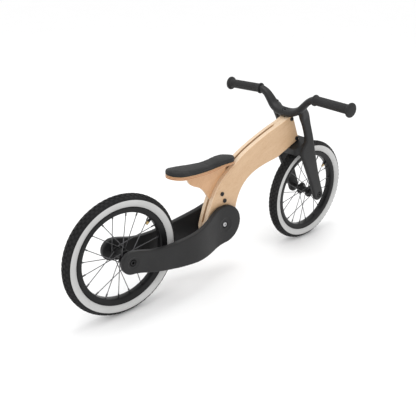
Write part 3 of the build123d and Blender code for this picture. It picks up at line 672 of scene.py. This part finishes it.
@dataclass
class Handlebar(Moulding):
    """The fork with its ribbon-like bar, which tapers to the grips and flows into the blades."""

    hub: Vector = field(default_factory=Vector)
    lean: float = 66.4
    bolt_hole: float = 7.2 * MM
    hole_margin: float = 1.0 * MM
    hole_wall: float = 1.3 * MM
    hole_depth: float = 3.2
    bar_level: float = 281.5
    section_steps: int = 32
    span_steps: int = 8
    squareness: float = 0.8
    stations: tuple[tuple[float, float, float, float, float], ...] = (
        (-112.7, 0.0, 409.8, 14.6, 9.6), (-112.0, 24.0, 411.7, 14.8, 9.6), (-110.6, 45.0, 420.7, 14.4, 9.8),
        (-110.2, 61.0, 436.2, 13.2, 9.4), (-111.2, 77.0, 450.6, 11.4, 9.0), (-112.6, 96.4, 458.0, 10.2, 9.4),
        (-113.8, 118.0, 457.5, 9.6, 9.4),
    )
    web_foot: tuple[Pair, ...] = ((6.0, 41.5), (30.5, 41.5), (30.5, 53.5), (6.0, 53.5))
    web_head: tuple[Pair, ...] = ((1.0, 40.0), (22.0, 40.0), (21.0, 62.0), (1.0, 62.0))
    web_levels: Pair = (258.0, 299.0)

    def steered(self, ahead: float, along: float, across: float) -> Vector:
        """A place in the steering frame.

        Args:
            ahead: Ahead of the steering axis, in millimetres.
            along: Along it from the axle, in millimetres.
            across: To the left, in millimetres.

        Returns:
            The place in the row frame, in metres.
        """
        turn = math.radians(self.lean)
        return self.hub + MM * Vector((ahead * math.sin(turn) - along * math.cos(turn), across,
                                       ahead * math.cos(turn) + along * math.sin(turn)))

    def merged(self, nodes: Nodes) -> bmesh.types.BMesh:
        """The fork's solid with the bar and the webs under it.

        Args:
            nodes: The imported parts.

        Returns:
            The solids.
        """
        bm = bmesh.new()
        bm.from_mesh(nodes["fork"].data)
        bmesh.ops.remove_doubles(bm, verts=bm.verts, dist=2e-6)
        self.bar(bm)
        for side in Side:
            corners = [self.steered(ahead, level, side.value * across)
                       for outline, level in zip((self.web_foot, self.web_head), self.web_levels)
                       for ahead, across in outline]
            bmesh.ops.convex_hull(bm, input=[bm.verts.new(corner) for corner in corners])
        return bm

    def bar(self, bm: bmesh.types.BMesh) -> None:
        """Add the bar, from grip to grip, as a chain of rounded sections.

        Args:
            bm: The mesh to add it to.
        """
        whole = [(x, -y, z, wide, deep) for x, y, z, wide, deep in reversed(self.stations[1:])]
        whole += list(self.stations)
        fine = []
        for index in range(len(whole) - 1):
            before, start = whole[max(index - 1, 0)], whole[index]
            end, after = whole[index + 1], whole[min(index + 2, len(whole) - 1)]
            for step in range(self.span_steps):
                part = step / self.span_steps
                fine.append([
                    0.5 * (2.0 * b + (c - a) * part + (2.0 * a - 5.0 * b + 4.0 * c - d) * part ** 2
                           + (3.0 * b - a - 3.0 * c + d) * part ** 3)
                    for a, b, c, d in zip(before, start, end, after)
                ])
        fine.append(list(whole[-1]))
        places = [Vector((self.hub.x + x * MM, y * MM, z * MM)) for x, y, z, _, _ in fine]
        rings = []
        for index, (place, row) in enumerate(zip(places, fine)):
            ahead = places[min(index + 1, len(places) - 1)] - places[max(index - 1, 0)]
            ahead.normalize()
            wide = self.steered(1.0, 0.0, 0.0) - self.hub
            wide = (wide - ahead * wide.dot(ahead)).normalized()
            deep = ahead.cross(wide)
            ring = []
            for step in range(self.section_steps):
                turn = math.tau * step / self.section_steps
                round_x = math.copysign(abs(math.cos(turn)) ** self.squareness, math.cos(turn))
                round_y = math.copysign(abs(math.sin(turn)) ** self.squareness, math.sin(turn))
                offset = wide * (round_x * row[3] * MM) + deep * (round_y * row[4] * MM)
                ring.append(bm.verts.new(place + offset))
            rings.append(ring)
        for first, second in zip(rings, rings[1:]):
            for step in range(self.section_steps):
                corner = (step + 1) % self.section_steps
                bm.faces.new((first[step], first[corner], second[corner], second[step]))
        bm.faces.new(rings[0])
        bm.faces.new(list(reversed(rings[-1])))

    def press(self, piece: bpy.types.Object) -> None:
        """Sink the bolt's hole into the top of the bar.

        Args:
            piece: The relaxed moulding.
        """
        axis = (self.steered(0.0, 1.0, 0.0) - self.hub).normalized()
        floor = (self.bar_level + self.hole_depth) * MM
        for vert in piece.data.vertices:
            offset = vert.co - self.hub
            along = offset.dot(axis)
            reach = (offset - axis * along).length
            if along < self.bar_level * MM or reach > self.bolt_hole + self.hole_margin:
                continue
            sink = min(1.0, max(0.0, (self.bolt_hole + self.hole_margin - reach) / self.hole_wall))
            vert.co -= axis * max(0.0, along - floor) * sink


@dataclass
class SocketBolt:
    """A round bolt head with a hexagon socket, on an axis that runs across the bike."""

    name: str
    body: str
    place: Pair
    seat: float
    radius: float = 6.3 * MM
    height: float = 4.0 * MM
    hexagon: float = 3.3 * MM
    socket: float = 3.0 * MM
    corners: int = 48

    def ring(self, bm: bmesh.types.BMesh, count: int, radius: float, offset: float,
             side: Side) -> list[bmesh.types.BMEdge]:
        """A ring of edges about the bolt's axis.

        Args:
            bm: The mesh to add it to.
            count: How many corners it has.
            radius: Its radius.
            offset: How far it stands off the seat.
            side: The side of the bike it is on.

        Returns:
            The ring's edges.
        """
        middle = Vector((self.place[0], side.value * (self.seat + offset), self.place[1]))
        turned = Matrix.Translation(middle) @ Matrix.Rotation(math.pi / 2, 4, "X")
        made = bmesh.ops.create_circle(bm, segments=count, radius=radius, cap_ends=False, matrix=turned)
        return list({edge for vert in made["verts"] for edge in vert.link_edges})

    def build(self, metal: bpy.types.Material, slot: str) -> bpy.types.Object:
        """Both heads of the bolt, as one piece.

        Args:
            metal: Their finish.
            slot: The record's material slot.

        Returns:
            The heads.
        """
        bm = bmesh.new()
        for side in Side:
            rings = [
                self.ring(bm, self.corners, self.radius, 0.0, side),
                self.ring(bm, self.corners, self.radius, self.height - 1.2 * MM, side),
                self.ring(bm, self.corners, self.radius - 0.5 * MM, self.height - 0.3 * MM, side),
                self.ring(bm, self.corners, self.radius - 1.3 * MM, self.height, side),
                self.ring(bm, self.corners, self.hexagon + 0.35 * MM, self.height, side),
                self.ring(bm, 6, self.hexagon, self.height - 0.35 * MM, side),
                self.ring(bm, 6, self.hexagon, self.height - self.socket, side),
            ]
            for outer, inner in zip(rings, rings[1:]):
                bmesh.ops.bridge_loops(bm, edges=outer + inner)
            for end in (rings[0], rings[-1]):
                bmesh.ops.edgeloop_fill(bm, edges=end)
        return finished(bm, self.name, self.body, slot, metal, smooth=False)


@dataclass
class Grip:
    """A soft handlebar grip: inner collar, ribbed sleeve and a round safety flange."""

    side: Side
    hub: Vector
    inner: Triple = (-112.6, 96.4, 458.0)
    outer: Triple = (-119.1, 218.2, 455.2)
    ribs: int = 25
    first_rib: float = 6.5
    rib_pitch: float = 4.0
    rib: tuple[Pair, ...] = ((0.0, 12.2), (2.9, 12.2), (3.2, 11.75), (3.8, 11.75))
    collar: tuple[Pair, ...] = ((112.0, 0.0), (112.0, 9.1), (0.0, 9.1), (0.0, 14.0), (0.8, 14.8), (3.2, 14.8),
                                (4.0, 14.0), (4.6, 12.2))
    flange: tuple[Pair, ...] = ((111.0, 12.4), (112.4, 13.4), (113.0, 16.2), (114.6, 18.0), (117.0, 18.7),
                                (119.4, 18.1), (121.2, 16.0), (121.9, 12.0), (122.0, 6.0), (122.0, 0.0))

    def end(self, place: Triple) -> Vector:
        """One end of the grip's axis.

        Args:
            place: Its X from the front axle, its distance off centre and its Z, in millimetres.

        Returns:
            The place in the row frame, in metres.
        """
        return Vector((self.hub.x + place[0] * MM, place[1] * MM * self.side.value, place[2] * MM))

    def build(self, rubber: bpy.types.Material) -> bpy.types.Object:
        """Spin the grip's outline about its axis.

        Args:
            rubber: The grip's rubber.

        Returns:
            The grip.
        """
        start = self.end(self.inner)
        axis = (self.end(self.outer) - start).normalized()
        normal = (UP - axis * axis.dot(UP)).normalized()
        outline = list(self.collar)
        for rib in range(self.ribs):
            place = self.first_rib + rib * self.rib_pitch
            outline += [(place + along, radius) for along, radius in self.rib]
        outline += list(self.flange)
        bm = bmesh.new()
        points = [bm.verts.new(start + axis * (along * MM) + normal * (radius * MM))
                  for along, radius in outline]
        edges = [bm.edges.new(pair) for pair in zip(points, points[1:])]
        bmesh.ops.spin(bm, geom=points + edges, cent=start, axis=axis, angle=math.tau, steps=48,
                       use_merge=True)
        bmesh.ops.remove_doubles(bm, verts=bm.verts, dist=1e-5)
        side = self.side.name.lower()
        piece = finished(bm, f"grip_{side}_sleeve", "steering", "grip_rubber", rubber)
        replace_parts(piece, f"grip_{side}")
        return piece


@dataclass
class Seat:
    """The saddle: a padded cover on a moulded plywood base."""

    rear: float = -190.8 * MM
    front: float = 19.7 * MM
    pad_side: float = 7.6 * MM
    pad_rise: float = 2.6 * MM
    crown: float = 2.2 * MM
    swell_cap: float = 1.6 * MM
    base_layers: int = 5
    base_depth: float = 8.2 * MM
    nose_thinning: float = 0.48
    waist: float = 21.4
    tail_flare: float = 7.6
    nose_flare: float = 2.6
    level: float = 317.8
    tail_rise: float = 8.2
    nose_rise: float = 6.2
    nose_droop: float = 2.4
    pressure: float = 4.0
    swell_frames: int = 12

    def half_width(self, along: float) -> float:
        """Half the seat's width at a place along it.

        Args:
            along: From 0 at the rear tip to 1 at the front tip.

        Returns:
            The half width, in metres.
        """
        tail = 0.5 + 0.5 * math.cos(math.pi * min(1.0, max(0.0, (along - 0.14) / 0.50)))
        width = self.waist + self.tail_flare * tail
        if along > 0.64:
            width += self.nose_flare * math.sin(math.pi / 2 * min(1.0, (along - 0.64) / 0.24))
        nose = min(1.0, along / 0.15, (1.0 - along) / 0.135)
        return width * MM * math.sqrt(max(0.0, 1.0 - (1.0 - nose) ** 2))

    def height(self, along: float) -> float:
        """The pad's top edge over the ground at a place along it.

        Args:
            along: From 0 at the rear tip to 1 at the front tip.

        Returns:
            The height, in metres.
        """
        rear_rise = self.tail_rise * (1.0 - min(1.0, along / 0.50)) ** 1.6
        lift = min(1.0, max(0.0, (along - 0.52) / 0.33))
        front_rise = self.nose_rise * math.sin(math.pi / 2 * lift) ** 2
        droop = self.nose_droop * max(0.0, (along - 0.86) / 0.14) ** 2
        return (self.level + rear_rise + front_rise - droop) * MM

    def sheet(self, inset: float, drop: float, cuts: int = 90, across: int = 16) -> bmesh.types.BMesh:
        """A seat-shaped surface.

        Args:
            inset: How far it stops short of the seat's edge.
            drop: How far it lies under the pad's top edge.
            cuts: Its divisions along the seat.
            across: Its divisions across the seat.

        Returns:
            The surface.
        """
        bm = bmesh.new()
        bmesh.ops.create_grid(bm, x_segments=cuts, y_segments=across, size=1.0)
        for vert in bm.verts:
            along = 0.5 - 0.5 * math.cos(math.pi * (vert.co.x + 1.0) / 2.0)
            width = max(0.0, self.half_width(along) - inset)
            place = self.rear + inset + (self.front - self.rear - 2.0 * inset) * along
            vert.co = Vector((place, vert.co.y * width, self.height(along) - drop))
        bmesh.ops.remove_doubles(bm, verts=bm.verts, dist=1e-5)
        return bm

    def pad(self, cloth: bpy.types.Material) -> bpy.types.Object:
        """The padded cover, swollen by a short cloth simulation.

        Args:
            cloth: The cover's cloth.

        Returns:
            The pad.
        """
        bm = self.sheet(0.4 * MM, -self.pad_rise)
        body = bmesh.ops.extrude_face_region(bm, geom=list(bm.faces))
        moved = [item for item in body["geom"] if isinstance(item, bmesh.types.BMVert)]
        bmesh.ops.translate(bm, verts=moved, vec=-UP * (self.pad_side + self.pad_rise))
        piece = finished(bm, "seat_pad_cover", "seat", "seat_cover", cloth)
        remesh = piece.modifiers.new("skin", "REMESH")
        remesh.mode = "VOXEL"
        remesh.voxel_size = 2.0 * MM
        relax = piece.modifiers.new("relax", "SMOOTH")
        relax.factor = 0.5
        relax.iterations = 2
        settle(piece)
        self.swell(piece)
        subdivision = piece.modifiers.new("fine", "SUBSURF")
        subdivision.levels = 1
        subdivision.render_levels = 1
        settle(piece)
        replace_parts(piece, "seat_pad")
        return piece

    def swell(self, piece: bpy.types.Object) -> None:
        """Blow the cover up a little with cloth pressure, and keep its foot flat on the base.

        Args:
            piece: The pad.
        """
        start = [vert.co.copy() for vert in piece.data.vertices]
        cloth = piece.modifiers.new("cloth", "CLOTH")
        cloth.settings.use_pressure = True
        cloth.settings.uniform_pressure_force = self.pressure
        cloth.settings.effector_weights.gravity = 0.0
        scene = bpy.context.scene
        for number in range(1, self.swell_frames + 1):
            scene.frame_set(number)
        settle(piece)
        scene.frame_set(1)
        for vert, origin in zip(piece.data.vertices, start):
            along = min(0.999, max(0.001, (origin.x - self.rear) / (self.front - self.rear)))
            foot = self.height(along) - self.pad_side
            lift = min(1.0, max(0.0, (origin.z - foot - 0.8 * MM) / (2.0 * MM)))
            shift = vert.co - origin
            if shift.length > self.swell_cap:
                shift = shift.normalized() * self.swell_cap
            width = max(1.0 * MM, self.half_width(along))
            crown = self.crown * max(0.0, 1.0 - (origin.y / width) ** 2) * lift
            vert.co = origin + shift * lift + UP * crown

    def base(self, *plies: bpy.types.Material) -> bpy.types.Object:
        """The moulded plywood base, one glued layer under another.

        Args:
            plies: The layers' materials, which take turns.

        Returns:
            The base.
        """
        bm = self.sheet(0.6 * MM, self.pad_side + 0.1 * MM)
        region = list(bm.faces)
        for layer in range(self.base_layers):
            before = set(bm.faces)
            grown = bmesh.ops.extrude_face_region(bm, geom=region)["geom"]
            region = [item for item in grown if isinstance(item, bmesh.types.BMFace)]
            for vert in (item for item in grown if isinstance(item, bmesh.types.BMVert)):
                along = (vert.co.x - self.rear) / (self.front - self.rear)
                thin = 1.0 - self.nose_thinning * min(1.0, max(0.0, (along - 0.60) / 0.38))
                vert.co.z -= self.base_depth * thin / self.base_layers
            for face in set(bm.faces) - before - set(region):
                face.material_index = layer % len(plies)
        piece = finished(bm, "seat_base_ply", "seat", "plywood", *plies, smooth=False)
        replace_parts(piece, "seat_base")
        return piece


# ---------------------------------------------------------------- studio


@dataclass
class Studio:
    """Pale floor, soft lights and the camera."""

    camera_place: Triple = (-0.9270, -1.0020, 0.7808)
    azimuth: float = -40.79
    elevation: float = 23.73
    roll: float = 0.57
    lens: float = 48.31

    def floor(self) -> None:
        """A wide pale floor."""
        bm = bmesh.new()
        bmesh.ops.create_grid(bm, x_segments=1, y_segments=1, size=40.0)
        mesh = bpy.data.meshes.new("floor")
        bm.to_mesh(mesh)
        bm.free()
        graph = Graph("floor_paper")
        cloud = graph.noise(graph.stretched(), 2.0, 2.0)
        pale = graph.ramp(cloud, [(0.0, (0.93, 0.93, 0.93)), (1.0, (0.95, 0.95, 0.95))])
        graph.link(pale, graph.shader.inputs["Base Color"])
        graph.shader.inputs["Roughness"].default_value = 0.9
        graph.shader.inputs["Specular IOR Level"].default_value = 0.1
        mesh.materials.append(graph.material)
        floor = bpy.data.objects.new("floor", mesh)
        bpy.context.scene.collection.objects.link(floor)

    def lamp(self, name: str, place: Triple, size: float, power: float) -> None:
        """A soft square lamp that looks at the bike.

        Args:
            name: The lamp's name.
            place: Where it hangs.
            size: Its side, in metres.
            power: Its power, in watts.
        """
        light = bpy.data.lights.new(name, "AREA")
        light.size = size
        light.energy = power
        lamp = bpy.data.objects.new(name, light)
        bpy.context.scene.collection.objects.link(lamp)
        lamp.location = place
        aim = Vector((0.0, 0.0, 0.2)) - Vector(place)
        lamp.rotation_euler = aim.to_track_quat("-Z", "Y").to_euler()

    def lights(self) -> None:
        """A white surround, a large key lamp and a low fill."""
        world = bpy.data.worlds.new("studio")
        bpy.context.scene.world = world
        world.use_nodes = True
        surround = world.node_tree.nodes["Background"]
        surround.inputs["Color"].default_value = (1.0, 1.0, 1.0, 1.0)
        surround.inputs["Strength"].default_value = 1.06
        self.lamp("overhead", (-0.1, 0.1, 2.6), 1.1, 16.0)
        self.lamp("fill", (-2.2, -2.4, 1.6), 2.4, 12.0)

    def camera(self) -> None:
        """The camera, at its place and angle."""
        turn, lift, lean = (math.radians(angle) for angle in (self.azimuth, self.elevation, self.roll))
        back = Vector((math.sin(turn) * math.cos(lift), -math.cos(turn) * math.cos(lift), math.sin(lift)))
        right = (-back).cross(UP).normalized()
        above = right.cross(-back)
        right, above = (right * math.cos(lean) + above * math.sin(lean),
                        above * math.cos(lean) - right * math.sin(lean))
        data = bpy.data.cameras.new("camera")
        data.lens = self.lens
        data.sensor_width = 36.0
        camera = bpy.data.objects.new("camera", data)
        bpy.context.scene.collection.objects.link(camera)
        turned = Matrix((right, above, back)).transposed().to_4x4()
        camera.matrix_world = Matrix.Translation(Vector(self.camera_place)) @ turned
        bpy.context.scene.camera = camera

    def build(self) -> None:
        """Set up the whole studio."""
        self.floor()
        self.lights()
        self.camera()
        bpy.context.scene.view_settings.view_transform = "Standard"


def dress(nodes: Nodes, names: list[str], material: bpy.types.Material) -> None:
    """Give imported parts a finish.

    Args:
        nodes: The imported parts.
        names: The parts to dress.
        material: Their finish.
    """
    for name in names:
        node = nodes[name]
        for place in node.material_slots:
            place.material = material


class Finishes:
    """The materials that the bike's pieces share."""

    def __init__(self) -> None:
        """Make every material once."""
        self.plywood = Plywood("birch_plywood").material()
        self.seat_ply = Plywood("seat_plywood", (0.60, 0.36, 0.18), (0.50, 0.28, 0.13), grain_turn=0.0,
                                face_limit=-1.0).material()
        self.support_ply = Plywood("support_plywood", (0.64, 0.39, 0.215), (0.53, 0.30, 0.15),
                                   grain_turn=60.0).material()
        self.glue_layer = Moulded("glue_layer", (0.30, 0.12, 0.07), (0.40, 0.18, 0.10), 0.6).material()
        self.plastic = Moulded("black_nylon").material()
        self.rubber = Moulded("tyre_black", (0.008, 0.008, 0.0085), (0.015, 0.015, 0.0155), 0.66, 700.0,
                              specular=0.14).material()
        # The tread's rubber is painted lighter than the carcass's: a painted highlight on the knob tops,
        # which leaves the carcass between them darker as painted shade.
        self.knob_rubber_painted_highlight = Moulded("tread_painted_highlight", (0.012, 0.012, 0.0125), (0.022, 0.022, 0.0225), 0.6, 700.0,
                                   specular=0.16).material()
        self.pale_rubber = Moulded("sidewall_pale", (0.46, 0.46, 0.455), (0.53, 0.53, 0.525), 0.6,
                                   500.0).material()
        self.grip_rubber = Moulded("grip_black", (0.015, 0.015, 0.0155), (0.024, 0.024, 0.0245), 0.62,
                                   800.0).material()
        self.rim_black = Moulded("rim_satin", (0.006, 0.006, 0.0065), (0.011, 0.011, 0.0115), 0.34, 500.0,
                                 specular=0.2).material()
        self.steel = Metal("plated_steel").material()
        self.spoke_steel = Metal("spoke_dark", (0.15, 0.15, 0.155), (0.09, 0.09, 0.093), 0.38).material()
        self.black_steel = Metal("black_oxide", (0.035, 0.035, 0.037), (0.02, 0.02, 0.021), 0.42,
                                 0.6).material()
        self.brass = Metal("dull_brass", (0.52, 0.38, 0.18), (0.36, 0.25, 0.11), 0.4).material()
        self.cloth = PadCloth("pad_knit").material()


@dataclass
class Bike:
    """The whole bike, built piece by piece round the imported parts."""

    nodes: Nodes
    places: dict[str, Vector]
    finishes: Finishes

    def side_place(self, joint: str) -> Pair:
        """A joint's place seen from the side, as (X, Z)."""
        place = self.places[joint]
        return place.x, place.z

    def wheels(self) -> None:
        """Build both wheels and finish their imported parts."""
        looks = self.finishes
        for end in ("front", "rear"):
            wheel = Wheel(end, self.places[f"{end}_wheel_spin"])
            report(wheel.tyre(looks.rubber, looks.pale_rubber), wheel.tread(looks.knob_rubber_painted_highlight),
                   wheel.rim(looks.rim_black), wheel.hub_shell(looks.rim_black))
            dress(self.nodes, [f"{end}_spokes", f"{end}_spoke_nipples"], looks.spoke_steel)
            dress(self.nodes, [f"{end}_valve_cap"], looks.brass)
            dress(self.nodes, [f"{end}_inner_tube"], looks.rubber)
            dress(self.nodes, [f"{end}_hub_bearings", f"{end}_axle_spacers"], looks.black_steel)

    def mouldings(self) -> None:
        """Build the fork with its bar, and both rear arms."""
        front = self.side_place("front_wheel_spin")
        arm_bosses = (Boss(self.side_place("rear_arm_pivot"), 10.0 * MM, dish=19.5 * MM),
                      Boss(self.side_place("rear_wheel_spin"), 9.5 * MM, dish=14.5 * MM))
        for moulding in (
            Handlebar("fork_and_bar", "steering", ("fork", "handlebar"), 1.3 * MM, 22,
                      (Boss(front, 9.5 * MM),), hub=self.places["front_wheel_spin"]),
            Moulding("arm_right_shell", "rear_arms", ("rear_arm_right",), 1.1 * MM, 26, arm_bosses),
            Moulding("arm_left_shell", "rear_arms", ("rear_arm_left",), 1.1 * MM, 26, arm_bosses),
        ):
            report(moulding.build(self.finishes.plastic, self.nodes))

    def bolts(self) -> None:
        """Build the socket heads at the pivot and at both axles."""
        looks = self.finishes
        pivot, rear, front = (self.side_place(joint)
                              for joint in ("rear_arm_pivot", "rear_wheel_spin", "front_wheel_spin"))
        for bolt, finish, slot, node in (
            (SocketBolt("pivot_bolt_heads", "rear_arms", pivot, 25.1 * MM), looks.steel, "steel",
             "pivot_bolts"),
            (SocketBolt("rear_axle_heads", "rear_arms", rear, 44.5 * MM), looks.black_steel, "black_steel",
             "rear_axle_bolts"),
            (SocketBolt("front_axle_heads", "steering", front, 50.0 * MM), looks.black_steel, "black_steel",
             "front_axle_bolts"),
        ):
            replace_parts(bolt.build(finish, slot), node)

    def grips(self) -> None:
        """Build both grips."""
        for side in Side:
            report(Grip(side, self.places["front_wheel_spin"]).build(self.finishes.grip_rubber))

    def seat(self) -> None:
        """Build the saddle's pad and base."""
        seat = Seat()
        report(seat.pad(self.finishes.cloth), seat.base(self.finishes.seat_ply, self.finishes.glue_layer))

    def packed(self) -> None:
        """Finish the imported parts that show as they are."""
        looks = self.finishes
        for material, names in (
            (looks.support_ply, ["seat_support"]),
            (looks.plywood, ["frame_plate_right", "frame_plate_left", "head_block", "pivot_block"]),
            (looks.steel, ["head_tube", "pivot_sleeve", "crown_insert", "front_axle", "pivot_shaft",
                           "rear_axle", "seat_screws"]),
            (looks.black_steel, ["steering_bolt", "steering_washer", "head_bolts", "seat_clamp_bolts",
                                 "seat_clamp_nuts"]),
            (looks.plastic, ["head_bush_lower", "head_bush_upper", "friction_discs"]),
        ):
            dress(self.nodes, names, material)


def report(*pieces: bpy.types.Object) -> None:
    """Log each finished piece.

    Args:
        pieces: The pieces.
    """
    for piece in pieces:
        LOG.info("%s: %d faces", piece.name, len(piece.data.polygons))


def main() -> None:
    """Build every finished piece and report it."""
    logging.basicConfig(level=logging.INFO, format="%(message)s")
    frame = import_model()
    places = {joint["name"]: Vector(joint["pos_m"]) for joint in frame["joints"] if "pos_m" in joint}
    bike = Bike(frame["nodes"], places, Finishes())
    bike.wheels()
    bike.mouldings()
    bike.bolts()
    bike.grips()
    bike.seat()
    bike.packed()
    Studio().build()


if __name__ == "__main__":
    main()
